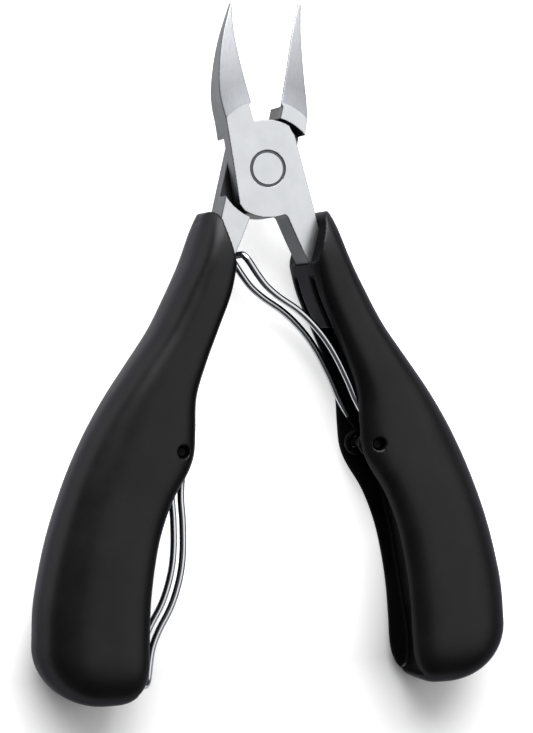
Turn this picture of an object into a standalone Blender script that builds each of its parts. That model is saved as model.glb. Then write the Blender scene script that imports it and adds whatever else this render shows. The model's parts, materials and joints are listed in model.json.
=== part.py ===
"""Toenail nipper lying flat on its grips, jaws towards +Y, front face up.

Two forged arms cross in a lap joint on a flush rivet. Each tang carries a
moulded grip, and each grip holds a wire bail on a cross pin: the right one is
the opening spring, the left one the lock that parks along its own grip.
Outlines are drawn in plan about the pivot, x to the right and y to the jaws.
"""

import math

import bmesh
import bpy
from mathutils import Vector

MM = 0.001

# Overall layout
JAW_TIP_Y = 29.7 * MM
GRIP_END_Y = -93.5 * MM
PIVOT_Y = -(JAW_TIP_Y + GRIP_END_Y) / 2
GRIP_HALF_THICK = 8.6 * MM
MID_Z = GRIP_HALF_THICK

# Head
ARM_HALF_THICK = 3.5 * MM
LAP_GAP = 0.24 * MM
PLATE_RADIUS = 8.7 * MM
SHOULDER_RADIUS = 9.2 * MM
RIVET_RADIUS = 2.7 * MM
RIVET_BORE_RADIUS = 2.95 * MM
RIVET_RING_RADIUS = 3.25 * MM
RIVET_RING_DEPTH = 0.9 * MM

# Jaw grinding: the taper is turned about an axis near the pivot
TAPER_CENTRE_Y = 1.7 * MM
TAPER_START_RADIUS = 10.4 * MM
TAPER_END_RADIUS = 28.4 * MM
TIP_HALF_THICK = 0.5 * MM
EDGE_LAND = 0.25 * MM
UNDERCUT_ANGLE = math.radians(20)

# Clearance round each tang in its grip
FIT_GAP = 0.3 * MM

# Bails and their pins
PIN_X = 18.2 * MM
PIN_Y = -49.4 * MM
PIN_RADIUS = 0.85 * MM
PIN_HALF_LENGTH = 6.9 * MM
PIN_BORE_RADIUS = 1.15 * MM
WIRE_RADIUS = 0.62 * MM
LEG_Z = 4.35 * MM
EYE_RADIUS = 1.8 * MM
EYE_PITCH = 1.4 * MM
EYE_TAIL = 2.6 * MM
BAIL_REACH = 41.4 * MM
FOOT_BEND_RADIUS = 1.5 * MM
SPRING_ANGLE = math.radians(124.2)
LOCK_ANGLE = math.radians(261.4)
CHANNEL_HALF_WIDTH = 5.5 * MM
LEG_GROOVE_HALF_WIDTH = 1.0 * MM

# Grip sections: rounder outside than inside, with a flat land on the back
GRIP_BACK_FULLNESS = 1.04
OUTER_POWER = 2.6
INNER_POWER = 3.6
BACK_LAND_Z = -GRIP_HALF_THICK
END_ROUND_Y = -83.0 * MM
END_CENTRE_X = 32.0 * MM

ROUND_STEPS = 32
PIN_STEPS = 16
SECTION_STEPS = 24

# Plan outlines in millimetres, right-hand grip: edge position x at each y
GRIP_OUTER = [
    (-4, 10.2), (-10, 12.6), (-16, 14.8), (-22, 17.8), (-28, 21.1), (-34, 25.4), (-40, 29.7),
    (-46, 33.4), (-52, 36.4), (-58, 38.8), (-64, 40.8), (-70, 42.3), (-76, 43.4), (-83, 43.8),
]
GRIP_INNER = [
    (-4, 4.8), (-10, 5.5), (-16, 6.7), (-22, 8.0), (-28, 10.4), (-34, 12.8), (-40, 14.7),
    (-46, 15.0), (-50, 15.3), (-53, 16.4), (-58, 19.4), (-64, 21.7), (-70, 23.0), (-76, 23.8),
    (-83, 24.2),
]
GRIP_MOUTH = [
    (0, -17.6), (6.1, -17.6), (7.5, -16.8), (9.25, -10.4), (9.45, -9.1), (9.85, -8.2), (10.4, -7.65),
    (11.0, -7.5), (11.6, -7.8), (12.0, -8.5), (12.4, -9.7), (18.0, -9.7), (18.0, 0), (0, 0),
]
TANG_INNER = [
    (3.5, -8.6), (5.4, -12.9), (7.25, -16.7), (9.0, -19.2), (10.8, -20.8), (12.4, -22.4),
    (13.9, -24.3), (16.0, -28.2), (17.6, -32.3), (18.8, -36.3), (20.5, -40.9), (23.5, -46.0),
    (24.1, -52.0), (25.7, -60.0), (28.0, -70.0), (29.4, -79.0),
]
TANG_OUTER = [
    (9.35, -10.4), (11.0, -13.8), (12.9, -16.8), (15.0, -20.5), (17.4, -24.5), (19.4, -28.3),
    (21.4, -32.4), (23.1, -36.4), (25.4, -41.0), (27.5, -46.0), (29.8, -52.0), (31.7, -60.0),
    (33.4, -70.0), (34.0, -79.0),
]
CHANNEL_FLOOR = [
    (14.9, -28.5), (16.4, -32.3), (17.5, -36.3), (18.7, -40.9), (21.9, -45.3), (22.8, -52.0),
    (23.6, -58.0), (25.2, -66.0), (26.7, -76.0), (27.9, -84.0), (27.9, -90.3), (26.5, -91.7),
]
LEG_GROOVE_FLOOR = [
    (6.9, -18.7), (8.4, -19.7), (10.1, -21.3), (11.6, -22.9), (12.9, -24.7), (14.0, -26.6),
    (15.8, -30.5),
]

# Bail leg: distance from the pin towards the foot, and sideways bow
BAIL_LEG = [
    (0, 1.8), (4, 1.7), (8, 2.0), (12, 2.8), (17, 3.5), (21, 3.6), (25, 3.1), (28, 2.3),
    (31.5, 0.9), (34.5, 0.1), (37, -0.05), (39.5, 0),
]


def clear_scene():
    for obj in list(bpy.data.objects):
        bpy.data.objects.remove(obj, do_unlink=True)


def make_material(name, colour, metallic, roughness):
    mat = bpy.data.materials.new(name)
    mat.use_nodes = True
    shader = mat.node_tree.nodes["Principled BSDF"]
    shader.inputs["Base Color"].default_value = (*colour, 1)
    shader.inputs["Metallic"].default_value = metallic
    shader.inputs["Roughness"].default_value = roughness
    return mat


def add_object(name, mesh, mat, location=(0, 0, 0)):
    obj = bpy.data.objects.new(name, mesh)
    obj.location = location
    obj.data.materials.append(mat)
    bpy.context.collection.objects.link(obj)
    return obj


def mesh_from(bm, name):
    bmesh.ops.recalc_face_normals(bm, faces=bm.faces)
    mesh = bpy.data.meshes.new(name)
    bm.to_mesh(mesh)
    bm.free()
    return mesh


def millimetres(points):
    return [(x * MM, y * MM) for x, y in points]


def mirrored(points, side):
    return [(side * x, y) for x, y in points]


def arc(radius, start, end, steps):
    """Points on a circle about the pivot, angles in degrees from +x."""
    angles = [math.radians(start + (end - start) * k / steps) for k in range(steps + 1)]
    return [(radius * math.cos(a), radius * math.sin(a)) for a in angles]


def smooth_at(knots, t):
    """Cubic through (t, value) knots, with the slope at a knot taken from its neighbours."""
    order = sorted(knots)
    last = len(order) - 1
    k = max(i for i in range(last) if order[i][0] <= t or i == 0)

    def slope(i):
        low = order[max(i - 1, 0)]
        high = order[min(i + 1, last)]
        return (high[1] - low[1]) / (high[0] - low[0])

    (t0, v0), (t1, v1) = order[k], order[k + 1]
    span = t1 - t0
    u = (t - t0) / span
    ease = u * u * (3 - 2 * u)
    leave = u * (1 - u) ** 2 * span * slope(k)
    arrive = -u * u * (1 - u) * span * slope(k + 1)
    return v0 * (1 - ease) + v1 * ease + leave + arrive


def prism_mesh(name, outline, low, high):
    bm = bmesh.new()
    verts = [bm.verts.new((x, y, low)) for x, y in outline]
    face = bm.faces.new(verts)
    moved = bmesh.ops.extrude_face_region(bm, geom=[face])["geom"]
    top = [v for v in moved if isinstance(v, bmesh.types.BMVert)]
    bmesh.ops.translate(bm, vec=(0, 0, high - low), verts=top)
    return mesh_from(bm, name)


def loft_mesh(name, rings):
    """Skin over closed rings of equal length, capped at both ends."""
    bm = bmesh.new()
    rows = [[bm.verts.new(p) for p in ring] for ring in rings]
    count = len(rows[0])
    for lower, upper in zip(rows, rows[1:]):
        for k in range(count):
            after = (k + 1) % count
            bm.faces.new((lower[k], lower[after], upper[after], upper[k]))
    bm.faces.new(rows[0])
    bm.faces.new(rows[-1])
    return mesh_from(bm, name)


def turned_mesh(name, profile, steps, centre=(0, 0)):
    """Solid of revolution about a vertical axis through centre."""
    rings = []
    for k in range(steps):
        a = 2 * math.pi * (k + 0.5) / steps
        rings.append([(centre[0] + r * math.cos(a), centre[1] + r * math.sin(a), z) for r, z in profile])
    bm = bmesh.new()
    rows = [[bm.verts.new(p) for p in ring] for ring in rings]
    for k, row in enumerate(rows):
        following = rows[(k + 1) % steps]
        for low, high in zip(range(len(profile)), range(1, len(profile))):
            bm.faces.new((row[low], following[low], following[high], row[high]))
    bm.faces.new([row[0] for row in rows])
    bm.faces.new([row[-1] for row in rows])
    return mesh_from(bm, name)


def pivot_point(x=0, y=0, z=0):
    """World place of a point given about the pivot at mid-thickness."""
    return Vector((x, PIVOT_Y + y, MID_Z + z))


def cut(target, mesh):
    """Subtract a guide mesh, given about the pivot, from the target."""
    guide = bpy.data.objects.new(mesh.name, mesh)
    guide.location = pivot_point()
    guide.hide_render = True
    guide.display_type = "WIRE"
    bpy.context.collection.objects.link(guide)
    modifier = target.modifiers.new(mesh.name, "BOOLEAN")
    modifier.operation = "DIFFERENCE"
    modifier.solver = "EXACT"
    modifier.object = guide
    guide.hide_set(True)


def shifted(points, distance):
    """Open line moved sideways, to its left when the distance is positive."""
    moved = []
    for k, here in enumerate(points):
        before = Vector(points[max(k - 1, 0)])
        after = Vector(points[min(k + 1, len(points) - 1)])
        run = (after - before).normalized()
        moved.append((here[0] - run.y * distance, here[1] + run.x * distance))
    return moved


def arm_outline(side, jaw):
    """Jaw on -side, lap plate in the middle and tang on +side, as one closed plan outline."""
    plate = PLATE_RADIUS / MM
    points = list(jaw["outer"])
    points += [(-6.47, 1.5), (-5.4, -6.3)]
    points += arc(plate, 238, 290, 8)
    points += TANG_INNER
    points += reversed(TANG_OUTER)
    points += [(5.4, 5.2), (4.9, 6.4)]
    points += arc(plate, 61, 106, 8)
    points += jaw["inner"]
    return mirrored(millimetres(points), side)


# Jaws in plan, millimetres about the pivot, for an arm whose jaw is on the left
LEFT_JAW = {
    "outer": [
        (-5.25, 29.7), (-6.85, 24.7), (-7.7, 21.0), (-8.2, 17.5), (-8.4, 14.0), (-8.15, 11.4), (-7.55, 8.9)
    ],
    "inner": [(-3.2, 11.3), (-2.8, 11.7), (-3.8, 16.6), (-4.55, 21.0), (-5.0, 25.0), (-5.0, 29.7)],
}
RIGHT_JAW = {
    "outer": [(-8.1, 29.7), (-7.6, 23.5), (-7.6, 16.0), (-7.75, 12.0), (-7.7, 8.9)],
    "inner": [(-3.1, 11.0), (-2.7, 11.4), (-4.05, 16.7), (-5.5, 23.0), (-7.45, 29.7)],
}


def taper_height(x, y):
    """Half-thickness of the ground jaw at a plan point."""
    run = math.hypot(x, y - TAPER_CENTRE_Y) - TAPER_START_RADIUS
    fall = (ARM_HALF_THICK - TIP_HALF_THICK) / (TAPER_END_RADIUS - TAPER_START_RADIUS)
    return ARM_HALF_THICK - fall * run


def taper_mesh(name, face):
    """Grinding cone over the front (face = 1) or under the back (face = -1) of the jaws."""
    reach = 1.4 * TAPER_END_RADIUS
    fall = (ARM_HALF_THICK - TIP_HALF_THICK) / (TAPER_END_RADIUS - TAPER_START_RADIUS)
    near = 0.8 * TAPER_START_RADIUS
    profile = [
        (near, ARM_HALF_THICK + fall * (TAPER_START_RADIUS - near)),
        (reach, ARM_HALF_THICK - fall * (reach - TAPER_START_RADIUS)),
        (reach, 2 * ARM_HALF_THICK),
        (near, 2 * ARM_HALF_THICK),
    ]
    bm = bmesh.new()
    rows = []
    steps = 16
    for k in range(steps + 1):
        a = math.radians(40 + 100 * k / steps)
        rows.append([
            bm.verts.new((r * math.cos(a), TAPER_CENTRE_Y + r * math.sin(a), face * z)) for r, z in profile
        ])
    count = len(profile)
    for lower, upper in zip(rows, rows[1:]):
        for k in range(count):
            after = (k + 1) % count
            bm.faces.new((lower[k], lower[after], upper[after], upper[k]))
    bm.faces.new(rows[0])
    bm.faces.new(rows[-1])
    return mesh_from(bm, name)


def undercut_mesh(name, edge, side):
    """Wedge that relieves the jaw behind its cutting edge; edge runs root to tip."""
    depth = 1.4 * ARM_HALF_THICK
    rings = []
    root, tip = Vector(edge[0]), Vector(edge[-1])
    start = root + (root - Vector(edge[1])).normalized() * 0.3 * MM
    end = tip + (tip - Vector(edge[-2])).normalized() * 2 * MM
    for x, y in [tuple(start), *edge[1:-1], tuple(end)]:
        top = taper_height(x, y) - EDGE_LAND
        lean = (top + depth) * math.tan(UNDERCUT_ANGLE)
        far = x - side * 8 * MM
        rings.append([(x, y, top), (x + side * lean, y, -depth), (far, y, -depth), (far, y, top)])
    return loft_mesh(name, rings)


def make_arm(name, side, jaw, plate_face, mat):
    """Jaw on -side, tang on +side; the lap plate is the half towards plate_face."""
    outline = arm_outline(side, jaw)
    body = prism_mesh(name, outline, -ARM_HALF_THICK, ARM_HALF_THICK)
    arm = add_object(name, body, mat, pivot_point())
    low, high = sorted((plate_face * LAP_GAP / 2, -plate_face * 2 * ARM_HALF_THICK))
    lap = arc(SHOULDER_RADIUS, 0, 360 - 360 / ROUND_STEPS / 2, 2 * ROUND_STEPS - 1)
    cut(arm, prism_mesh(name + "_lap_cut", lap, low, high))
    cut(arm, taper_mesh(name + "_front_taper_cut", 1))
    cut(arm, taper_mesh(name + "_back_taper_cut", -1))
    edge = [(side * x * MM, y * MM) for x, y in jaw["inner"][1:]]
    cut(arm, undercut_mesh(name + "_undercut_cut", edge, -side))
    depth = 2 * ARM_HALF_THICK
    ring_floor = ARM_HALF_THICK - RIVET_RING_DEPTH
    bore = [(RIVET_BORE_RADIUS, -plate_face * depth), (RIVET_BORE_RADIUS, plate_face * ring_floor)]
    bore += [(RIVET_RING_RADIUS, plate_face * ring_floor), (RIVET_RING_RADIUS, plate_face * depth)]
    cut(arm, turned_mesh(name + "_bore_cut", bore, ROUND_STEPS))
    return arm


def grip_section(y, side):
    """One closed cross-section of a grip at plan position y."""
    at = max(y, END_ROUND_Y) / MM
    outer = smooth_at(GRIP_OUTER, at) * MM
    inner = smooth_at(GRIP_INNER, at) * MM
    half_thick = GRIP_HALF_THICK
    if y < END_ROUND_Y:
        e = (END_ROUND_Y - y) / (END_ROUND_Y - GRIP_END_Y)
        outer = END_CENTRE_X + (outer - END_CENTRE_X) * math.sqrt(1 - e * e)
        soft = (1 - e ** 3) ** (1 / 3)
        inner = END_CENTRE_X - (END_CENTRE_X - inner) * soft
        half_thick = GRIP_HALF_THICK * soft
    centre = (outer + inner) / 2
    half_width = (outer - inner) / 2
    ring = []
    for k in range(SECTION_STEPS):
        a = 2 * math.pi * k / SECTION_STEPS
        c, s = math.cos(a), math.sin(a)
        power = 2 / (OUTER_POWER if c > 0 else INNER_POWER)
        x = centre + math.copysign(abs(c) ** power, c) * half_width
        full = 1 if s > 0 else GRIP_BACK_FULLNESS
        z = math.copysign(abs(s) ** power, s) * half_thick * full
        ring.append((side * x, y, max(z, BACK_LAND_Z)))
    return ring


def make_grip(name, side, mat):
    straight = [-4 - 4 * k for k in range(21)]
    stations = [y * MM for y in straight if y * MM > END_ROUND_Y]
    rounds = 7
    for k in range(rounds):
        e = math.sin(0.5 * math.pi * k / rounds)
        stations.append(END_ROUND_Y + (GRIP_END_Y - END_ROUND_Y) * e)
    stations.append(GRIP_END_Y + 0.0001 * MM)
    rings = [grip_section(y, side) for y in stations]
    grip = add_object(name, loft_mesh(name, rings), mat, pivot_point())
    through = 2 * GRIP_HALF_THICK
    mouth = mirrored(millimetres(GRIP_MOUTH), side)
    cut(grip, prism_mesh(name + "_mouth_cut", mouth, -through, through))
    inner = shifted(TANG_INNER, -FIT_GAP / MM)
    outer = shifted(TANG_OUTER, FIT_GAP / MM)
    foot = [(inner[-1][0], inner[-1][1] - FIT_GAP / MM), (outer[-1][0], outer[-1][1] - FIT_GAP / MM)]
    pocket = [(4.0, -4.0), *inner, *foot, *reversed(outer), (8.0, -4.0)]
    pocket = mirrored(millimetres(pocket), side)
    deep = ARM_HALF_THICK + FIT_GAP
    cut(grip, prism_mesh(name + "_tang_cut", pocket, -deep, deep))
    channel = millimetres(CHANNEL_FLOOR + [(25.2, -95), (0, -95), (0, -28.5)])
    channel = mirrored(channel, side)
    cut(grip, prism_mesh(name + "_channel_cut", channel, -CHANNEL_HALF_WIDTH, CHANNEL_HALF_WIDTH))
    bore = [(PIN_BORE_RADIUS, -through), (PIN_BORE_RADIUS, through)]
    cut(grip, turned_mesh(name + "_pin_cut", bore, PIN_STEPS, (side * PIN_X, PIN_Y)))
    return grip


def cut_leg_grooves(grip, side):
    """Slots that take the two legs of the opening spring when the handles are closed."""
    groove = mirrored(millimetres(LEG_GROOVE_FLOOR + [(2, -30.5), (2, -18.7)]), side)
    for label, face in (("front", 1), ("back", -1)):
        low = face * LEG_Z - LEG_GROOVE_HALF_WIDTH
        high = face * LEG_Z + LEG_GROOVE_HALF_WIDTH
        cut(grip, prism_mesh(grip.name + "_" + label + "_groove_cut", groove, low, high))


def eye_point(along, aside, turns, back):
    """Point on the eye, counted in turns back from where the leg leaves it."""
    a = 2 * math.pi * turns
    spot = aside * (math.cos(a) * EYE_RADIUS) - along * (math.sin(a) * EYE_RADIUS)
    return spot - along * back + Vector((0, 0, LEG_Z - EYE_PITCH * turns))


def bail_path(angle, bow):
    """Centre line of a bail about its pin: tail, eye and leg, the foot, and the same again."""
    along = Vector((math.cos(angle), math.sin(angle), 0))
    aside = Vector((along.y, -along.x, 0)) * bow
    half = [eye_point(along, aside, 1, EYE_TAIL)]
    eye_steps = 12
    for k in range(eye_steps):
        half.append(eye_point(along, aside, 1 - k / eye_steps, 0))
    leg_steps = 22
    leg_length = BAIL_REACH - FOOT_BEND_RADIUS
    for k in range(leg_steps + 1):
        run = leg_length * k / leg_steps
        bowed = smooth_at(BAIL_LEG, run / MM) * MM if run / MM < BAIL_LEG[-1][0] else 0
        half.append(along * run + aside * bowed + Vector((0, 0, LEG_Z)))
    bend_steps = 4
    for k in range(1, bend_steps + 1):
        a = 0.5 * math.pi * k / bend_steps
        run = leg_length + FOOT_BEND_RADIUS * math.sin(a)
        half.append(along * run + Vector((0, 0, LEG_Z - FOOT_BEND_RADIUS * (1 - math.cos(a)))))
    return half + [Vector((p.x, p.y, -p.z)) for p in reversed(half)]


def make_bail(name, side, angle, bow, mat):
    curve = bpy.data.curves.new(name, "CURVE")
    curve.dimensions = "3D"
    curve.bevel_depth = WIRE_RADIUS
    curve.bevel_resolution = 2
    curve.use_fill_caps = True
    path = bail_path(angle, bow)
    spline = curve.splines.new("POLY")
    spline.points.add(len(path) - 1)
    for point, place in zip(spline.points, path):
        point.co = (*place, 1)
    return add_object(name, curve, mat, pivot_point(side * PIN_X, PIN_Y))


def make_pin(name, side, mat):
    profile = [(PIN_RADIUS, -PIN_HALF_LENGTH), (PIN_RADIUS, PIN_HALF_LENGTH)]
    mesh = turned_mesh(name, profile, PIN_STEPS)
    mesh.shade_smooth()
    mesh.set_sharp_from_angle(angle=math.radians(40))
    return add_object(name, mesh, mat, pivot_point(side * PIN_X, PIN_Y))


def make_rivet(mat):
    profile = [(RIVET_RADIUS, -ARM_HALF_THICK), (RIVET_RADIUS, ARM_HALF_THICK)]
    mesh = turned_mesh("pivot_rivet", profile, ROUND_STEPS)
    mesh.shade_smooth()
    mesh.set_sharp_from_angle(angle=math.radians(40))
    return add_object("pivot_rivet", mesh, mat, pivot_point())


def main():
    clear_scene()
    steel = make_material("satin_steel", (0.62, 0.63, 0.65), 1, 0.32)
    wire = make_material("polished_wire", (0.72, 0.73, 0.75), 1, 0.14)
    black = make_material("blackened_steel", (0.03, 0.03, 0.03), 1, 0.45)
    moulded = make_material("soft_black", (0.018, 0.018, 0.02), 0, 0.55)
    make_arm("front_arm", 1, LEFT_JAW, 1, steel)
    make_arm("rear_arm", -1, RIGHT_JAW, -1, steel)
    make_rivet(steel)
    right_grip = make_grip("right_grip", 1, moulded)
    cut_leg_grooves(right_grip, 1)
    make_grip("left_grip", -1, moulded)
    make_pin("right_spring_pin", 1, black)
    make_pin("left_spring_pin", -1, black)
    make_bail("opening_spring", 1, SPRING_ANGLE, 1, wire)
    make_bail("lock_bail", -1, LOCK_ANGLE, -1, wire)


main()
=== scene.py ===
"""Looks of the toenail nipper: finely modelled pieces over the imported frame, finishes, light and camera.

Every outline is drawn in plan about the handle pivot, in millimetres: x to the
right, y towards the jaws, z up from mid-thickness. Pivot and pins come from the frame.
"""

import json
import math

import bmesh
import bpy
from mathutils import Matrix, Vector


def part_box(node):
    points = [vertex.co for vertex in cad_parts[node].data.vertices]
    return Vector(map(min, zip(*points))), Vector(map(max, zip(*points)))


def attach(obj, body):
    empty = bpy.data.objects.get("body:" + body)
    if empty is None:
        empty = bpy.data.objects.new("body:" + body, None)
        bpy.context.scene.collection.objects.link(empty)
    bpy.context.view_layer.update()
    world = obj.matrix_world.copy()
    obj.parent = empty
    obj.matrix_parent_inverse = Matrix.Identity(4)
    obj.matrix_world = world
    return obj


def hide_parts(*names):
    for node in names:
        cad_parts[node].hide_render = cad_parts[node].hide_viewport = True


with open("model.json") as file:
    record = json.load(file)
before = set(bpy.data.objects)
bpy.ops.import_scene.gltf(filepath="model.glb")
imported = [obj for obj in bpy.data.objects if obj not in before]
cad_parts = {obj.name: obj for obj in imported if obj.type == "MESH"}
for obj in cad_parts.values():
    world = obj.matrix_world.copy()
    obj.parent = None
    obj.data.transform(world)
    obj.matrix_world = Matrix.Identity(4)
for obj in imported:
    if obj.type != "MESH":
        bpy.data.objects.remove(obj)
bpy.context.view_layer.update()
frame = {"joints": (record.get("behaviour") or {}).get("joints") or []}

MM = 0.001
JOINTS = {joint["name"]: joint for joint in frame["joints"]}
PIVOT = Vector(JOINTS["handle_pivot"]["pos_m"])
# A side is 1 for the right of the tool and -1 for its left
RIGHT, LEFT = 1, -1
PIN_PLACE = {
    RIGHT: (Vector(JOINTS["spring_swing"]["pos_m"]) - PIVOT) / MM,
    LEFT: (Vector(JOINTS["lock_swing"]["pos_m"]) - PIVOT) / MM,
}

# ---------------------------------------------------------------- sizes, in millimetres

GRIP_END_Y = (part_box("right_grip")[0].y - PIVOT.y) / MM
GRIP_HALF_THICK = PIVOT.z / MM
ARM_HALF_THICK = (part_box("front_arm")[1].z - PIVOT.z) / MM

LAP_GAP = 0.24
PLATE_RADIUS = 8.7
# The front arm, whose tang is on the right, has a slightly smaller shoulder than its CAD
SHOULDER_RADIUS = {RIGHT: 8.85, LEFT: 9.2}
# Degrees between the last and the first point of the shoulder's circle
SHOULDER_CLOSING_ANGLE = 2.5
RIVET_RADIUS = 2.7
RIVET_BORE_RADIUS = 2.95
RIVET_RING_RADIUS = 3.25
RIVET_RING_DEPTH = 0.9
# The sunk flange makes the dark ring, which is a groove in the CAD; its dark colour is painted shade
RIVET_HEAD_RADIUS = 2.84
RIVET_FLANGE_RADIUS = 3.22
RIVET_FLANGE_TOP = 0.13
RIVET_FLANGE_BOTTOM = 0.75
RIVET_EDGE = 0.06

TAPER_CENTRE_Y = 1.7
TAPER_START_RADIUS = 10.4
TAPER_END_RADIUS = 28.4
TIP_HALF_THICK = 0.5
EDGE_LAND = 0.25
UNDERCUT_ANGLE = math.radians(20)
UNDERCUT_PAST_ROOT = 0.3
UNDERCUT_PAST_TIP = 2
UNDERCUT_WIDTH = 8
# The grinding cone's sweep in degrees, and how far the cutters reach beyond what they cut
TAPER_SWEEP = (40, 140)
TAPER_STEPS = 80
CUTTER_NEAR_SHARE = 0.8
CUTTER_FAR_SHARE = 1.4

# Where the painted shade along the jaws turns, from the taper's centre, and the places near the pivot
# painted dark as shade:
# each reach and height is where the painted shade is full or gone, in the order given
FACET_DARKEST_RADIUS = 14.5
FACET_BRIGHT_RADIUS = 27.0
NOTCH_PLACE = (3.0, 10.6, -1.0)
NOTCH_REACH = (2.2, 3.4)
LAP_REACH = (11.5, 12.5)
LAP_HEIGHT = (0.7, 1.1)

FIT_GAP = 0.3
PIN_RADIUS = 0.85
PIN_HALF_LENGTH = 6.9
PIN_BORE_RADIUS = 1.15
PIN_EDGE = 0.15
WIRE_RADIUS = 0.62
SPRING_LEG_Z = 4.35
# The lock bail's legs are closer together than in its CAD, as the photo shows them
LOCK_LEG_Z = 2.9
EYE_RADIUS = 1.8
EYE_PITCH = 1.4
EYE_TAIL = 2.6
# How far from a pin the coils are painted black as shade, and where the wire's painted shade is full and
# gone
EYE_BLACK_REACH = 4.6
EYE_SHADE_REACH = (5.0, 8.0)
BAIL_REACH = 41.4
FOOT_BEND_RADIUS = 1.5
SPRING_ANGLE = math.radians(124.2)
LOCK_ANGLE = math.radians(261.4)
CHANNEL_HALF_WIDTH = 5.5
LEG_GROOVE_HALF_WIDTH = 1.0

GRIP_BACK_FULLNESS = 1.04
OUTER_POWER = 2.6
INNER_POWER = 4.8
GRIP_START_Y = -4.0
GRIP_END_INSET = 0.002
POCKET_MOUTH_X = (4.0, 8.0)
LOBE_ROUND_Y = -17.0
LOBE_TIP_Y = -7.4
LOBE_TIP_HALF_THICK = 4.0
END_ROUND_Y = -83.0
END_CENTRE_X = 32.0

# Mesh fineness of the visible pieces
ARM_VOXEL = 0.10
ARM_SMOOTHING = 6
GRIP_VOXEL = 0.25
GRIP_SMOOTHING = 4
FACES_KEPT = 0.3
SHARP_ANGLE = math.radians(30)
ROUND_STEPS = 96
PIN_STEPS = 48
PLATE_ARC_STEPS = 48
SECTION_STEPS = 96
STATION_PITCH = 1.0
END_STATIONS = 24
EYE_STEPS = 36
LEG_STEPS = 60
BEND_STEPS = 10
WIRE_SIDES = 20
# Rings of a wire's eased end: move along the wire, and share of its radius
WIRE_END = [(0.0, 0.45), (0.12, 0.8), (0.35, 1.0)]

GRIP_OUTER = [
    (-4, 10.2), (-10, 12.6), (-16, 14.8), (-22, 17.8), (-28, 21.1), (-34, 25.4), (-40, 29.7),
    (-46, 33.4), (-52, 36.4), (-58, 38.8), (-64, 40.8), (-70, 42.3), (-76, 43.4), (-83, 43.8),
]
GRIP_INNER = [
    (-4, 4.8), (-10, 5.5), (-16, 6.7), (-22, 8.0), (-28, 10.4), (-34, 12.8), (-40, 14.7),
    (-46, 15.0), (-50, 15.3), (-53, 16.4), (-58, 19.4), (-64, 21.7), (-70, 23.0), (-76, 23.8),
    (-83, 24.2),
]
GRIP_MOUTH = [
    (0, -17.6), (6.1, -17.6), (7.5, -16.8), (9.25, -10.4), (9.45, -9.1), (9.85, -8.2), (10.4, -7.65),
    (11.0, -7.5), (11.6, -7.8), (12.0, -8.5), (12.4, -9.7), (18.0, -9.7), (18.0, 0), (0, 0),
]
TANG_INNER = [
    (3.5, -8.6), (5.4, -12.9), (7.25, -16.7), (9.0, -19.2), (10.8, -20.8), (12.4, -22.4),
    (13.9, -24.3), (16.0, -28.2), (17.6, -32.3), (18.8, -36.3), (20.5, -40.9), (23.5, -46.0),
    (24.1, -52.0), (25.7, -60.0), (28.0, -70.0), (29.4, -79.0),
]
TANG_OUTER = [
    (9.35, -10.4), (11.0, -13.8), (12.9, -16.8), (15.0, -20.5), (17.4, -24.5), (19.4, -28.3),
    (21.4, -32.4), (23.1, -36.4), (25.4, -41.0), (27.5, -46.0), (29.8, -52.0), (31.7, -60.0),
    (33.4, -70.0), (34.0, -79.0),
]
CHANNEL_FLOOR = [
    (14.9, -28.5), (16.4, -32.3), (17.5, -36.3), (18.7, -40.9), (21.9, -45.3), (22.8, -52.0),
    (23.6, -58.0), (25.2, -66.0), (26.7, -76.0), (27.9, -84.0), (27.9, -90.3), (26.5, -91.7),
]
CHANNEL_OPEN_SIDE = [(25.2, -95), (0, -95), (0, -28.5)]
LEG_GROOVE_FLOOR = [
    (6.9, -18.7), (8.4, -19.7), (10.1, -21.3), (11.6, -22.9), (12.9, -24.7), (14.0, -26.6),
    (15.8, -30.5),
]
LEG_GROOVE_OPEN_SIDE = [(2, -30.5), (2, -18.7)]
BAIL_LEG = [
    (0, 1.8), (4, 1.7), (8, 2.0), (12, 2.8), (17, 3.5), (21, 3.6), (25, 3.1), (28, 2.3),
    (31.5, 0.9), (34.5, 0.1), (37, -0.05), (39.5, 0),
]
PLATE_PAST_JAW = [(-6.47, 1.5), (-5.4, -6.3)]
PLATE_PAST_TANG = [(5.4, 5.2), (5.2, 5.9), (4.8, 6.5)]
LEFT_JAW = {
    "outer": [
        (-5.25, 29.7), (-6.85, 24.7), (-7.7, 21.0), (-8.2, 17.5), (-8.4, 14.0), (-8.15, 11.4), (-7.55, 8.9)
    ],
    "inner": [(-3.2, 11.3), (-2.8, 11.7), (-3.8, 16.6), (-4.55, 21.0), (-5.0, 25.0), (-5.0, 29.7)],
}
RIGHT_JAW = {
    "outer": [(-8.1, 29.7), (-7.6, 23.5), (-7.6, 16.0), (-7.75, 12.0), (-7.7, 8.9)],
    "inner": [(-3.1, 11.0), (-2.7, 11.4), (-4.05, 16.7), (-5.5, 23.0), (-7.45, 29.7)],
}


# ---------------------------------------------------------------- studio settings

# Half the table's width, in millimetres
FLOOR_REACH = 2500

# The floor's own glow, painted light that washes out the shadows, and the world Y in metres between which
# it comes up towards the jaws
GLOW_STRENGTH = 0.6
GLOW_RANGE = (-0.058, -0.036)

# The studio is a dim dome with soft panels: axis, strength, then the angles from the axis, in
# degrees, at which the panel is full and at which it has faded out
DOME_STRENGTH = 0.10
PANELS = [
    ((0.53, 0.12, 0.85), 1.75, 8, 42),
    ((-0.05, 0.88, 0.47), 9.5, 14, 42),
]

# The camera's direction and roll, then its distance and aim in millimetres from the pivot
CAMERA_AZIMUTH = math.radians(18.5)
CAMERA_ELEVATION = math.radians(-0.8)
CAMERA_ROLL = math.radians(-1.4)
CAMERA_LENS = 117.87
CAMERA_DISTANCE = 428.57
AIM_RIGHT = 0.85
AIM_DOWN = 35.1


# ---------------------------------------------------------------- finishes


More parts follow.
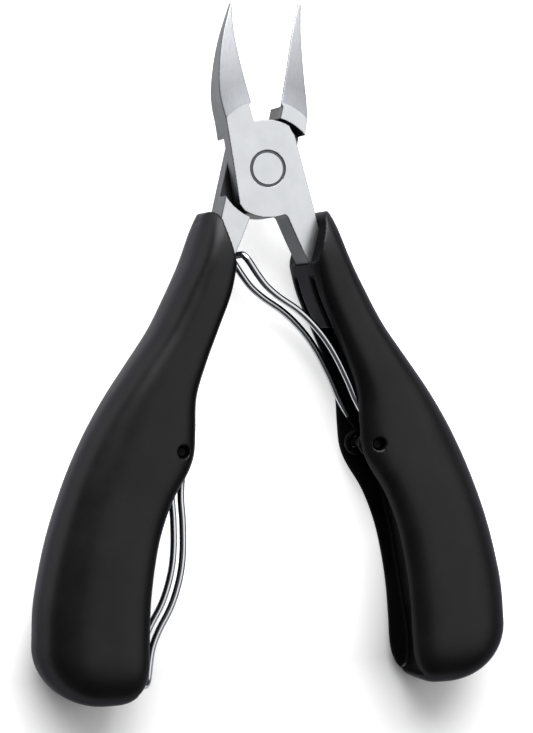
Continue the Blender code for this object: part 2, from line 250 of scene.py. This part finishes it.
class Finish:
    """A node material with a Principled shader, built step by step."""

    def __init__(self, name, metallic, roughness, colour=(0.5, 0.5, 0.5)):
        self.material = bpy.data.materials.new(name)
        self.material.use_nodes = True
        self.nodes = self.material.node_tree.nodes
        self.links = self.material.node_tree.links
        self.shader = self.nodes["Principled BSDF"]
        self.shader.inputs["Base Color"].default_value = (*colour, 1)
        self.shader.inputs["Metallic"].default_value = metallic
        self.shader.inputs["Roughness"].default_value = roughness
        self.place = self.nodes.new("ShaderNodeTexCoord")

    def noise(self, stretch, scale, detail=4, roughness=0.6):
        """Noise in the piece's own space; a small stretch draws it out along that axis."""
        mapping = self.nodes.new("ShaderNodeMapping")
        mapping.inputs["Scale"].default_value = stretch
        self.links.new(self.place.outputs["Object"], mapping.inputs["Vector"])
        noise = self.nodes.new("ShaderNodeTexNoise")
        noise.inputs["Scale"].default_value = scale
        noise.inputs["Detail"].default_value = detail
        noise.inputs["Roughness"].default_value = roughness
        self.links.new(mapping.outputs["Vector"], noise.inputs["Vector"])
        return noise.outputs["Fac"]

    def spread(self, value, low, high, start=0.3, end=0.7):
        """A value between start and end, spread from low to high."""
        node = self.nodes.new("ShaderNodeMapRange")
        node.inputs["From Min"].default_value = start
        node.inputs["From Max"].default_value = end
        node.inputs["To Min"].default_value = low
        node.inputs["To Max"].default_value = high
        self.links.new(value, node.inputs["Value"])
        return node.outputs["Result"]

    def distance_from(self, point):
        """Distance in metres of the surface from a point of the piece's own space."""
        node = self.nodes.new("ShaderNodeVectorMath")
        node.operation = "DISTANCE"
        node.inputs[1].default_value = point
        self.links.new(self.place.outputs["Object"], node.inputs[0])
        return node.outputs["Value"]

    def axis(self, source, name):
        """One axis, X, Y or Z, of the surface's place (source Object) or Normal."""
        split = self.nodes.new("ShaderNodeSeparateXYZ")
        self.links.new(self.place.outputs[source], split.inputs["Vector"])
        return split.outputs[name]

    def maths(self, operation, first, second=0.0):
        """A maths node on a value and a second value or number."""
        node = self.nodes.new("ShaderNodeMath")
        node.operation = operation
        self.links.new(first, node.inputs[0])
        if isinstance(second, float):
            node.inputs[1].default_value = second
        else:
            self.links.new(second, node.inputs[1])
        return node.outputs["Value"]

    def off_mid_plane(self):
        """Height in metres of the surface above or below the tool's mid-plane."""
        return self.maths("ABSOLUTE", self.maths("SUBTRACT", self.axis("Object", "Z"), PIVOT.z))

    def facing_up(self, start, end):
        """0 to 1 as the upright part of the surface's normal goes from start to end."""
        return self.spread(self.maths("ABSOLUTE", self.axis("Normal", "Z")), 0, 1, start, end)

    def mix(self, factor, low, high):
        """Blend of two colours (or of two numbers), each given as such or as another node's output."""
        is_colour = isinstance(low, tuple) or getattr(low, "type", None) == "RGBA"
        kind = "RGBA" if is_colour else "VALUE"
        node = self.nodes.new("ShaderNodeMix")
        node.data_type = "RGBA" if is_colour else "FLOAT"
        for name, value in (("A", low), ("B", high)):
            target = [s for s in node.inputs if s.name == name and s.type == kind][0]
            if isinstance(value, tuple):
                target.default_value = (*value, 1)
            elif isinstance(value, (int, float)):
                target.default_value = value
            else:
                self.links.new(value, target)
        self.links.new(factor, node.inputs["Factor"])
        return [s for s in node.outputs if s.type == kind][0]

    def set(self, socket, value):
        """Drive one of the shader's sockets by another node's output."""
        self.links.new(value, self.shader.inputs[socket])

    def bump(self, value, strength, distance):
        """Fine relief from a value; the distance is in millimetres."""
        node = self.nodes.new("ShaderNodeBump")
        node.inputs["Strength"].default_value = strength
        node.inputs["Distance"].default_value = distance * MM
        self.links.new(value, node.inputs["Height"])
        self.links.new(node.outputs["Normal"], self.shader.inputs["Normal"])


def satin_steel():
    """Ground plate faces and lengthwise-grained jaw facets whose tone along the jaw is painted shade, sides
    painted darker as shade, and laps and a notch painted dark as shade.
    """
    finish = Finish("satin_steel", 1, 0.3)
    fine_grain = finish.noise((1, 0.06, 1), 9000)
    coarse_grain = finish.noise((1, 0.03, 1), 4200, detail=5)
    clouds = finish.noise((1, 1, 1), 260)
    plate = finish.mix(finish.spread(clouds, 0, 1), (0.405, 0.415, 0.43), (0.445, 0.455, 0.47))
    # Painted shade along the jaw facets: darkest part way along, lighter towards the root and the tip
    from_taper = finish.distance_from(world_point((0, TAPER_CENTRE_Y, 0)))
    root_side = finish.spread(from_taper, 1, 0, TAPER_START_RADIUS * MM, FACET_DARKEST_RADIUS * MM)
    tip_side = finish.spread(from_taper, 0, 1, FACET_DARKEST_RADIUS * MM, FACET_BRIGHT_RADIUS * MM)
    facet_shade = finish.mix(root_side, (0.205, 0.21, 0.225), (0.27, 0.28, 0.295))
    facet_shade = finish.mix(tip_side, facet_shade, (0.34, 0.345, 0.36))
    streaks = finish.mix(finish.spread(coarse_grain, 0, 1), (0.17, 0.175, 0.19), facet_shade)
    facet = finish.mix(finish.spread(coarse_grain, 0.55, 1), streaks, facet_shade)
    # Painted shade: the steel's sides, told apart by their normal, get this darker colour
    side = finish.mix(finish.spread(clouds, 0, 1), (0.042, 0.045, 0.053), (0.066, 0.069, 0.080))
    # Painted shade: the steel is painted near-black round the notch near the pivot
    from_notch = finish.distance_from(world_point(NOTCH_PLACE))
    clear_of_notch = finish.spread(from_notch, 0, 1, *[reach * MM for reach in NOTCH_REACH])
    side = finish.mix(clear_of_notch, (0.025, 0.025, 0.027), side)
    flat = finish.facing_up(0.990, 0.9975)
    top = finish.facing_up(0.55, 0.92)
    colour = finish.mix(top, side, finish.mix(flat, facet, plate))
    # Painted shade: faces near the pivot and close to the mid-plane, the laps, are painted near-black
    near_pivot = finish.spread(finish.distance_from(PIVOT), 1, 0, *[reach * MM for reach in LAP_REACH])
    near_middle = finish.spread(finish.off_mid_plane(), 1, 0, *[height * MM for height in LAP_HEIGHT])
    lap = finish.maths("MINIMUM", finish.maths("MINIMUM", near_pivot, near_middle), top)
    finish.set("Base Color", finish.mix(lap, colour, (0.04, 0.04, 0.043)))
    smoothness = finish.spread(fine_grain, 0.27, 0.36)
    finish.set("Roughness", finish.mix(top, 0.46, smoothness))
    finish.bump(finish.mix(flat, coarse_grain, fine_grain), 0.15, 0.003)
    return finish.material


def shaded_ring_steel():
    """Steel at the bottom of the ring round the rivet, painted dark as the shade in the groove."""
    finish = Finish("shaded_ring_steel", 1, 0.5)
    clouds = finish.noise((1, 1, 1), 1500)
    finish.set("Base Color", finish.mix(clouds, (0.06, 0.065, 0.07), (0.10, 0.105, 0.115)))
    finish.set("Roughness", finish.spread(clouds, 0.45, 0.6))
    return finish.material


def polished_wire():
    """Bright drawn wire, painted dark as shade where it coils round a pin."""
    finish = Finish("polished_wire", 1, 0.14)
    finish.shader.inputs["Specular Tint"].default_value = (0.12, 0.12, 0.13, 1)
    marks = finish.noise((1, 1, 1), 900)
    finish.set("Roughness", finish.spread(marks, 0.09, 0.2))
    # Painted shade: the wire darkens towards the coils round the pins
    clear_of_pins = []
    for place in PIN_PLACE.values():
        from_pin = finish.distance_from(world_point(place))
        clear_of_pins.append(finish.spread(from_pin, 0, 1, *[reach * MM for reach in EYE_SHADE_REACH]))
    clear = finish.maths("MINIMUM", *clear_of_pins)
    finish.set("Base Color", finish.mix(clear, (0.02, 0.02, 0.022), (0.44, 0.45, 0.47)))
    return finish.material


def soft_black():
    """Satin black skin of the grips, which stays dark where it is seen edge-on."""
    finish = Finish("soft_black", 0.85, 0.36)
    handling = finish.noise((1, 1, 1), 140)
    texture = finish.noise((1, 1, 1), 5200, detail=2)
    finish.shader.inputs["Specular IOR Level"].default_value = 0.2
    finish.shader.inputs["Specular Tint"].default_value = (0.42, 0.42, 0.44, 1)
    finish.set("Roughness", finish.spread(handling, 0.34, 0.41))
    finish.set("Base Color", finish.mix(
        finish.spread(handling, 0, 1), (0.0165, 0.0165, 0.0172), (0.0200, 0.0200, 0.0208)
    ))
    finish.bump(texture, 0.12, 0.015)
    return finish.material


def blackened_steel():
    """Dull steel of the pins and of the coils round them, painted near-black as the shade inside the grips.
    """
    finish = Finish("blackened_steel", 0, 0.6, (0.001, 0.001, 0.001))
    finish.shader.inputs["Specular IOR Level"].default_value = 0.08
    marks = finish.noise((1, 1, 1), 2200)
    finish.set("Roughness", finish.spread(marks, 0.5, 0.75))
    return finish.material


def pale_floor():
    """Matt white table with its own painted glow, which washes out shadows except where the handle ends
    rest.
    """
    finish = Finish("pale_floor", 0, 0.75, (0.86, 0.86, 0.86))
    glow = finish.spread(finish.axis("Object", "Y"), 0, GLOW_STRENGTH, *GLOW_RANGE)
    finish.shader.inputs["Emission Color"].default_value = (1, 1, 1, 1)
    finish.set("Emission Strength", glow)
    return finish.material


# ---------------------------------------------------------------- curves and outlines


def mirrored(points, side):
    """Plan points of the right side, taken to a side."""
    return [(side * x, y) for x, y in points]


def arc(radius, start, end, steps):
    """Points on a circle about the pivot, angles in degrees from +x."""
    angles = [math.radians(start + (end - start) * k / steps) for k in range(steps + 1)]
    return [(radius * math.cos(a), radius * math.sin(a)) for a in angles]


def smooth_at(knots, t):
    """Cubic through (t, value) knots, with the slope at a knot taken from its neighbours."""
    order = sorted(knots)
    last = len(order) - 1
    k = max(i for i in range(last) if order[i][0] <= t or i == 0)

    def slope(i):
        low = order[max(i - 1, 0)]
        high = order[min(i + 1, last)]
        return (high[1] - low[1]) / (high[0] - low[0])

    (t0, v0), (t1, v1) = order[k], order[k + 1]
    span = t1 - t0
    u = (t - t0) / span
    ease = u * u * (3 - 2 * u)
    leave = u * (1 - u) ** 2 * span * slope(k)
    arrive = -u * u * (1 - u) * span * slope(k + 1)
    return v0 * (1 - ease) + v1 * ease + leave + arrive


def rounded(points, pieces=6):
    """Open line through the points, with smooth curves between them."""
    line = [Vector(p) for p in points]
    result = []
    for k in range(len(line) - 1):
        before = line[max(k - 1, 0)]
        here, there = line[k], line[k + 1]
        after = line[min(k + 2, len(line) - 1)]
        for j in range(pieces):
            u = j / pieces
            leave = (there - before) * 0.5
            arrive = (after - here) * 0.5
            ease = u * u * (3 - 2 * u)
            p = here * (1 - ease) + there * ease
            p = p + leave * (u * (1 - u) ** 2) - arrive * (u * u * (1 - u))
            result.append(tuple(p))
    result.append(tuple(line[-1]))
    return result


def shifted(points, distance):
    """Open line moved sideways, to its left when the distance is positive."""
    moved = []
    for k, here in enumerate(points):
        before = Vector(points[max(k - 1, 0)])
        after = Vector(points[min(k + 1, len(points) - 1)])
        run = (after - before).normalized()
        moved.append((here[0] - run.y * distance, here[1] + run.x * distance))
    return moved


# ---------------------------------------------------------------- mesh building


def world_point(point):
    """World place, in metres, of a point in millimetres about the pivot."""
    return PIVOT + Vector(point) * MM


def object_from(bm, name):
    """A linked object from a mesh in millimetres about the pivot."""
    for vert in bm.verts:
        vert.co = world_point(vert.co)
    bmesh.ops.recalc_face_normals(bm, faces=bm.faces)
    mesh = bpy.data.meshes.new(name)
    bm.to_mesh(mesh)
    bm.free()
    obj = bpy.data.objects.new(name, mesh)
    bpy.context.scene.collection.objects.link(obj)
    return obj


def prism(name, outline, low, high):
    """Upright block of a plan outline between two heights."""
    bm = bmesh.new()
    face = bm.faces.new([bm.verts.new((x, y, low)) for x, y in outline])
    moved = bmesh.ops.extrude_face_region(bm, geom=[face])["geom"]
    top = [v for v in moved if isinstance(v, bmesh.types.BMVert)]
    bmesh.ops.translate(bm, vec=(0, 0, high - low), verts=top)
    return object_from(bm, name)


def loft(name, rings):
    """Skin over closed rings of equal length, capped at both ends."""
    bm = bmesh.new()
    rows = [[bm.verts.new(p) for p in ring] for ring in rings]
    count = len(rows[0])
    for lower, upper in zip(rows, rows[1:]):
        for k in range(count):
            after = (k + 1) % count
            bm.faces.new((lower[k], lower[after], upper[after], upper[k]))
    bm.faces.new(rows[0])
    bm.faces.new(rows[-1])
    return object_from(bm, name)


def turned(name, profile, centre=(0, 0), steps=ROUND_STEPS):
    """Solid of revolution about a vertical axis through centre."""
    rings = []
    for r, z in profile:
        angles = [2 * math.pi * (k + 0.5) / steps for k in range(steps)]
        rings.append([(centre[0] + r * math.cos(a), centre[1] + r * math.sin(a), z) for a in angles])
    return loft(name, rings)


def cut(target, guide):
    """Subtract a guide piece and remove it."""
    modifier = target.modifiers.new("cut", "BOOLEAN")
    modifier.operation = "DIFFERENCE"
    modifier.solver = "EXACT"
    modifier.object = guide
    apply_modifiers(target)
    bpy.data.objects.remove(guide, do_unlink=True)


def apply_modifiers(obj):
    """Make the object's modified shape its own mesh."""
    graph = bpy.context.evaluated_depsgraph_get()
    mesh = bpy.data.meshes.new_from_object(obj.evaluated_get(graph), depsgraph=graph)
    obj.modifiers.clear()
    old = obj.data
    obj.data = mesh
    bpy.data.meshes.remove(old)


def soften(obj, voxel, passes):
    """Round every edge a little: fine even mesh, smoothed, then thinned."""
    remesh = obj.modifiers.new("remesh", "REMESH")
    remesh.mode = "VOXEL"
    remesh.voxel_size = voxel * MM
    smooth = obj.modifiers.new("smooth", "SMOOTH")
    smooth.factor = 0.5
    smooth.iterations = passes
    thin = obj.modifiers.new("thin", "DECIMATE")
    thin.ratio = FACES_KEPT
    apply_modifiers(obj)
    obj.data.shade_smooth()


def sharpen(obj):
    """Smooth round faces with crisp corners."""
    obj.data.shade_smooth()
    obj.data.set_sharp_from_angle(angle=SHARP_ANGLE)


def finish_piece(obj, material, slot, body, *nodes):
    """Give a piece its material, its body, and the frame's nodes that it stands for; the slot argument is
    not used.
    """
    obj.data.materials.clear()
    obj.data.materials.append(material)
    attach(obj, body)
    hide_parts(*nodes)


# ---------------------------------------------------------------- arms and rivet


def arm_outline(side, jaw):
    """Jaw on -side, lap plate in the middle and tang on +side, as one closed plan outline."""
    points = rounded(jaw["outer"])
    points += PLATE_PAST_JAW
    points += arc(PLATE_RADIUS, 238, 290, PLATE_ARC_STEPS)
    points += rounded(TANG_INNER, 3)
    points += reversed(rounded(TANG_OUTER, 3))
    points += PLATE_PAST_TANG
    points += arc(PLATE_RADIUS, 61, 106, PLATE_ARC_STEPS)
    points += [jaw["inner"][0]] + rounded(jaw["inner"][1:])
    return mirrored(points, side)


def taper_height(x, y):
    """Half-thickness of the ground jaw at a plan point."""
    run = math.hypot(x, y - TAPER_CENTRE_Y) - TAPER_START_RADIUS
    fall = (ARM_HALF_THICK - TIP_HALF_THICK) / (TAPER_END_RADIUS - TAPER_START_RADIUS)
    return ARM_HALF_THICK - fall * run


def taper_cutter(face):
    """Grinding cone over the front (face = 1) or under the back (face = -1) of the jaws."""
    reach = CUTTER_FAR_SHARE * TAPER_END_RADIUS
    near = CUTTER_NEAR_SHARE * TAPER_START_RADIUS
    profile = [
        (near, taper_height(near, TAPER_CENTRE_Y)),
        (reach, taper_height(reach, TAPER_CENTRE_Y)),
        (reach, 2 * ARM_HALF_THICK),
        (near, 2 * ARM_HALF_THICK),
    ]
    rings = []
    start, end = TAPER_SWEEP
    for k in range(TAPER_STEPS + 1):
        a = math.radians(start + (end - start) * k / TAPER_STEPS)
        rings.append([(r * math.cos(a), TAPER_CENTRE_Y + r * math.sin(a), face * z) for r, z in profile])
    return loft("taper", rings)


def undercut_cutter(edge, side):
    """Wedge that relieves the jaw behind its cutting edge; edge runs root to tip."""
    depth = CUTTER_FAR_SHARE * ARM_HALF_THICK
    root, tip = Vector(edge[0]), Vector(edge[-1])
    start = root + (root - Vector(edge[1])).normalized() * UNDERCUT_PAST_ROOT
    end = tip + (tip - Vector(edge[-2])).normalized() * UNDERCUT_PAST_TIP
    rings = []
    for x, y in [tuple(start), *edge[1:-1], tuple(end)]:
        top = taper_height(x, y) - EDGE_LAND
        lean = (top + depth) * math.tan(UNDERCUT_ANGLE)
        far = x - side * UNDERCUT_WIDTH
        rings.append([(x, y, top), (x + side * lean, y, -depth), (far, y, -depth), (far, y, top)])
    return loft("undercut", rings)


def make_arm(name, side, jaw):
    """Tang on a side and jaw on the other; the lap plate is in front for the right, behind for the left."""
    arm = prism(name, arm_outline(side, jaw), -ARM_HALF_THICK, ARM_HALF_THICK)
    low, high = sorted((side * LAP_GAP / 2, -side * 2 * ARM_HALF_THICK))
    shoulder = arc(SHOULDER_RADIUS[side], 0, 360 - SHOULDER_CLOSING_ANGLE, 2 * ROUND_STEPS)
    cut(arm, prism("lap", shoulder, low, high))
    cut(arm, taper_cutter(1))
    cut(arm, taper_cutter(-1))
    edge = [(side * x, y) for x, y in jaw["inner"][1:]]
    cut(arm, undercut_cutter(edge, -side))
    depth = 2 * ARM_HALF_THICK
    ring_floor = ARM_HALF_THICK - RIVET_RING_DEPTH
    bore = [(RIVET_BORE_RADIUS, -side * depth), (RIVET_BORE_RADIUS, side * ring_floor)]
    bore += [(RIVET_RING_RADIUS, side * ring_floor), (RIVET_RING_RADIUS, side * depth)]
    cut(arm, turned("bore", bore))
    soften(arm, ARM_VOXEL, ARM_SMOOTHING)
    return arm


def make_rivet(name):
    """Shank with a head flush with each face, ringed by a flange sunk just below it."""
    half = [
        (RIVET_RADIUS, ARM_HALF_THICK - RIVET_FLANGE_BOTTOM),
        (RIVET_FLANGE_RADIUS, ARM_HALF_THICK - RIVET_FLANGE_BOTTOM),
        (RIVET_FLANGE_RADIUS, ARM_HALF_THICK - RIVET_FLANGE_TOP),
        (RIVET_HEAD_RADIUS, ARM_HALF_THICK - RIVET_FLANGE_TOP),
        (RIVET_HEAD_RADIUS, ARM_HALF_THICK - RIVET_EDGE),
        (RIVET_HEAD_RADIUS - RIVET_EDGE, ARM_HALF_THICK),
    ]
    rivet = turned(name, [(r, -z) for r, z in reversed(half)] + half)
    sharpen(rivet)
    return rivet


def darken_flange(rivet, material):
    """Give the sunk ring round the rivet's heads its own finish, painted dark as shade."""
    rivet.data.materials.append(material)
    for face in rivet.data.polygons:
        radii = [(rivet.data.vertices[k].co - PIVOT).xy.length for k in face.vertices]
        if max(radii) > 0.5 * (RIVET_HEAD_RADIUS + RIVET_FLANGE_RADIUS) * MM:
            face.material_index = 1


# ---------------------------------------------------------------- grips and pins


def grip_section(y, side):
    """One closed cross-section of a grip at plan position y."""
    at = max(y, END_ROUND_Y)
    outer = smooth_at(GRIP_OUTER, at)
    inner = smooth_at(GRIP_INNER, at)
    half_thick = GRIP_HALF_THICK
    if y > LOBE_ROUND_Y:
        rise = min((y - LOBE_ROUND_Y) / (LOBE_TIP_Y - LOBE_ROUND_Y), 1)
        fullness = math.sqrt(1 - rise * rise)
        half_thick = LOBE_TIP_HALF_THICK + (GRIP_HALF_THICK - LOBE_TIP_HALF_THICK) * fullness
    if y < END_ROUND_Y:
        fall = (END_ROUND_Y - y) / (END_ROUND_Y - GRIP_END_Y)
        outer = END_CENTRE_X + (outer - END_CENTRE_X) * math.sqrt(max(1 - fall * fall, 0))
        soft = max(1 - fall ** 3, 0) ** (1 / 3)
        inner = END_CENTRE_X - (END_CENTRE_X - inner) * soft
        half_thick = GRIP_HALF_THICK * soft
    centre = (outer + inner) / 2
    half_width = (outer - inner) / 2
    ring = []
    for k in range(SECTION_STEPS):
        a = 2 * math.pi * (k + 0.5) / SECTION_STEPS
        c, s = math.cos(a), math.sin(a)
        power = 2 / (OUTER_POWER if c > 0 else INNER_POWER)
        x = centre + math.copysign(abs(c) ** power, c) * half_width
        full = 1 if s > 0 else GRIP_BACK_FULLNESS
        z = math.copysign(abs(s) ** power, s) * half_thick * full
        ring.append((side * x, y, max(z, -GRIP_HALF_THICK)))
    return ring


def grip_stations():
    """Plan positions of a grip's sections, closer together round its end."""
    straight = int((GRIP_START_Y - END_ROUND_Y) / STATION_PITCH)
    stations = [GRIP_START_Y - STATION_PITCH * k for k in range(straight)]
    for k in range(END_STATIONS):
        reach = math.sin(0.5 * math.pi * k / END_STATIONS)
        stations.append(END_ROUND_Y + (GRIP_END_Y - END_ROUND_Y) * reach)
    return stations + [GRIP_END_Y + GRIP_END_INSET]


def tang_pocket(side):
    """Outline of the hole for the tang, a fit gap wider than the tang all round."""
    inner = shifted(TANG_INNER, -FIT_GAP)
    outer = shifted(TANG_OUTER, FIT_GAP)
    foot = [(inner[-1][0], inner[-1][1] - FIT_GAP), (outer[-1][0], outer[-1][1] - FIT_GAP)]
    first, last = [(x, GRIP_START_Y) for x in POCKET_MOUTH_X]
    return mirrored([first, *inner, *foot, *reversed(outer), last], side)


def cut_leg_grooves(grip, side):
    """Slots that take the two legs of the opening spring when the handles are closed."""
    groove = mirrored(rounded(LEG_GROOVE_FLOOR, 4) + LEG_GROOVE_OPEN_SIDE, side)
    for face in (1, -1):
        low = face * SPRING_LEG_Z - LEG_GROOVE_HALF_WIDTH
        cut(grip, prism("groove", groove, low, low + 2 * LEG_GROOVE_HALF_WIDTH))


def make_grip(name, side):
    """Lofted grip, cut for its mouth, tang, wire channel, pin and, on the right, the spring's legs."""
    grip = loft(name, [grip_section(y, side) for y in grip_stations()])
    through = 2 * GRIP_HALF_THICK
    cut(grip, prism("mouth", mirrored(GRIP_MOUTH, side), -through, through))
    deep = ARM_HALF_THICK + FIT_GAP
    cut(grip, prism("pocket", tang_pocket(side), -deep, deep))
    channel = mirrored(rounded(CHANNEL_FLOOR, 4) + CHANNEL_OPEN_SIDE, side)
    cut(grip, prism("channel", channel, -CHANNEL_HALF_WIDTH, CHANNEL_HALF_WIDTH))
    if side == RIGHT:
        cut_leg_grooves(grip, side)
    bore = [(PIN_BORE_RADIUS, -through), (PIN_BORE_RADIUS, through)]
    cut(grip, turned("pin_bore", bore, PIN_PLACE[side]))
    soften(grip, GRIP_VOXEL, GRIP_SMOOTHING)
    return grip


def make_pin(name, side):
    """Cross pin with small chamfers at its ends."""
    profile = [
        (PIN_RADIUS - PIN_EDGE, -PIN_HALF_LENGTH), (PIN_RADIUS, -PIN_HALF_LENGTH + PIN_EDGE),
        (PIN_RADIUS, PIN_HALF_LENGTH - PIN_EDGE), (PIN_RADIUS - PIN_EDGE, PIN_HALF_LENGTH),
    ]
    pin = turned(name, profile, PIN_PLACE[side], PIN_STEPS)
    sharpen(pin)
    return pin


# ---------------------------------------------------------------- wire bails


def bail_path(angle, bow, leg_z):
    """Centre line of a bail about its pin: tail, eye and leg, the foot, and the same again."""
    along = Vector((math.cos(angle), math.sin(angle), 0))
    aside = Vector((along.y, -along.x, 0)) * bow

    def eye_point(turns, back):
        a = 2 * math.pi * turns
        spot = aside * (math.cos(a) * EYE_RADIUS) - along * (math.sin(a) * EYE_RADIUS)
        return spot - along * back + Vector((0, 0, leg_z - EYE_PITCH * turns))

    half = [eye_point(1, EYE_TAIL)]
    for k in range(EYE_STEPS):
        half.append(eye_point(1 - k / EYE_STEPS, 0))
    leg_length = BAIL_REACH - FOOT_BEND_RADIUS
    for k in range(LEG_STEPS + 1):
        run = leg_length * k / LEG_STEPS
        bowed = smooth_at(BAIL_LEG, run) if run < BAIL_LEG[-1][0] else 0
        half.append(along * run + aside * bowed + Vector((0, 0, leg_z)))
    for k in range(1, BEND_STEPS + 1):
        a = 0.5 * math.pi * k / BEND_STEPS
        run = leg_length + FOOT_BEND_RADIUS * math.sin(a)
        half.append(along * run + Vector((0, 0, leg_z - FOOT_BEND_RADIUS * (1 - math.cos(a)))))
    return half + [Vector((p.x, p.y, -p.z)) for p in reversed(half)]


def make_wire(name, side, angle, bow, leg_z):
    """Round wire swept along a bail's centre line; bow is 1 or -1, for the way its legs curve."""
    path = [p + PIN_PLACE[side] for p in bail_path(angle, bow, leg_z)]
    tangents = []
    for k in range(len(path)):
        tangents.append((path[min(k + 1, len(path) - 1)] - path[max(k - 1, 0)]).normalized())
    across = tangents[0].orthogonal().normalized()
    rings = []
    for k, (point, tangent) in enumerate(zip(path, tangents)):
        across = (across - tangent * across.dot(tangent)).normalized()
        up = tangent.cross(across)
        steps = [(0, 1.0)]
        if k == 0:
            steps = WIRE_END
        if k == len(path) - 1:
            steps = [(-move, size) for move, size in reversed(WIRE_END)]
        for move, size in steps:
            ring = []
            for j in range(WIRE_SIDES):
                a = 2 * math.pi * j / WIRE_SIDES
                spoke = across * math.cos(a) + up * math.sin(a)
                ring.append(tuple(point + tangent * move + spoke * (WIRE_RADIUS * size)))
            rings.append(ring)
    bail = loft(name, rings)
    bail.data.shade_smooth()
    return bail


def blacken_eyes(bail, side, material):
    """Give the coils round the pin their own black, painted as shade."""
    bail.data.materials.append(material)
    pin = world_point(PIN_PLACE[side])
    for face in bail.data.polygons:
        if (face.center - pin).xy.length < EYE_BLACK_REACH * MM:
            face.material_index = 1


# ---------------------------------------------------------------- the object

steel = satin_steel()
bright_wire = polished_wire()
black = blackened_steel()
moulded = soft_black()

front_arm = make_arm("front_arm_ground", RIGHT, LEFT_JAW)
finish_piece(front_arm, steel, "satin_steel", "front_half", "front_arm")
rear_arm = make_arm("rear_arm_ground", LEFT, RIGHT_JAW)
finish_piece(rear_arm, steel, "satin_steel", "rear_half", "rear_arm")
rivet = make_rivet("pivot_rivet_flush")
finish_piece(rivet, steel, "satin_steel", "front_half", "pivot_rivet")
darken_flange(rivet, shaded_ring_steel())

right_grip = make_grip("right_grip_moulding", RIGHT)
finish_piece(right_grip, moulded, "soft_black", "front_half", "right_grip")
left_grip = make_grip("left_grip_moulding", LEFT)
finish_piece(left_grip, moulded, "soft_black", "rear_half", "left_grip")

right_pin = make_pin("right_spring_pin_turned", RIGHT)
finish_piece(right_pin, black, "blackened_steel", "front_half", "right_spring_pin")
left_pin = make_pin("left_spring_pin_turned", LEFT)
finish_piece(left_pin, black, "blackened_steel", "rear_half", "left_spring_pin")

opening_spring = make_wire("opening_spring_wire", RIGHT, SPRING_ANGLE, 1, SPRING_LEG_Z)
finish_piece(opening_spring, bright_wire, "polished_wire", "spring", "opening_spring")
blacken_eyes(opening_spring, RIGHT, black)
lock_bail = make_wire("lock_bail_wire", LEFT, LOCK_ANGLE, -1, LOCK_LEG_Z)
finish_piece(lock_bail, bright_wire, "polished_wire", "lock", "lock_bail")
blacken_eyes(lock_bail, LEFT, black)

# ---------------------------------------------------------------- stage, light and camera


def make_floor():
    """Wide table at the height of the frame's origin."""
    bm = bmesh.new()
    bmesh.ops.create_grid(bm, x_segments=1, y_segments=1, size=FLOOR_REACH)
    floor = object_from(bm, "floor")
    floor.location.z = -PIVOT.z
    floor.data.materials.append(pale_floor())


def make_studio():
    """Dim dome with soft panels, brightest along each panel's axis."""
    world = bpy.data.worlds.new("studio_dome")
    bpy.context.scene.world = world
    world.use_nodes = True
    nodes = world.node_tree.nodes
    links = world.node_tree.links
    direction = nodes.new("ShaderNodeTexCoord")
    total = None
    for axis, strength, full, faded in PANELS:
        toward = nodes.new("ShaderNodeVectorMath")
        toward.operation = "DOT_PRODUCT"
        toward.inputs[1].default_value = Vector(axis).normalized()
        links.new(direction.outputs["Generated"], toward.inputs[0])
        panel = nodes.new("ShaderNodeMapRange")
        panel.interpolation_type = "SMOOTHSTEP"
        panel.inputs["From Min"].default_value = math.cos(math.radians(faded))
        panel.inputs["From Max"].default_value = math.cos(math.radians(full))
        panel.inputs["To Max"].default_value = strength
        links.new(toward.outputs["Value"], panel.inputs["Value"])
        sum_node = nodes.new("ShaderNodeMath")
        sum_node.inputs[1].default_value = DOME_STRENGTH
        links.new(panel.outputs["Result"], sum_node.inputs[0])
        if total is not None:
            links.new(total, sum_node.inputs[1])
        total = sum_node.outputs["Value"]
    background = nodes["Background"]
    background.inputs["Color"].default_value = (1, 1, 1, 1)
    links.new(total, background.inputs["Strength"])


def make_camera():
    """Camera on the left of the tool, turned to its frame's right, up and back directions."""
    back = Vector((
        -math.sin(CAMERA_AZIMUTH) * math.cos(CAMERA_ELEVATION),
        -math.sin(CAMERA_ELEVATION),
        math.cos(CAMERA_AZIMUTH) * math.cos(CAMERA_ELEVATION),
    ))
    level = Vector((0, 1, 0)).cross(back).normalized()
    right = Matrix.Rotation(CAMERA_ROLL, 3, back) @ level
    up = back.cross(right)
    data = bpy.data.cameras.new("camera")
    data.sensor_fit = "VERTICAL"
    data.sensor_height = 36
    data.lens = CAMERA_LENS
    data.clip_start = 0.01
    camera = bpy.data.objects.new("camera", data)
    place = Matrix((right, up, back)).transposed().to_4x4()
    place.translation = PIVOT + (back * CAMERA_DISTANCE + right * AIM_RIGHT - up * AIM_DOWN) * MM
    camera.matrix_world = place
    bpy.context.scene.collection.objects.link(camera)
    bpy.context.scene.camera = camera


make_floor()
make_studio()
make_camera()
bpy.context.scene.view_settings.view_transform = "Standard"
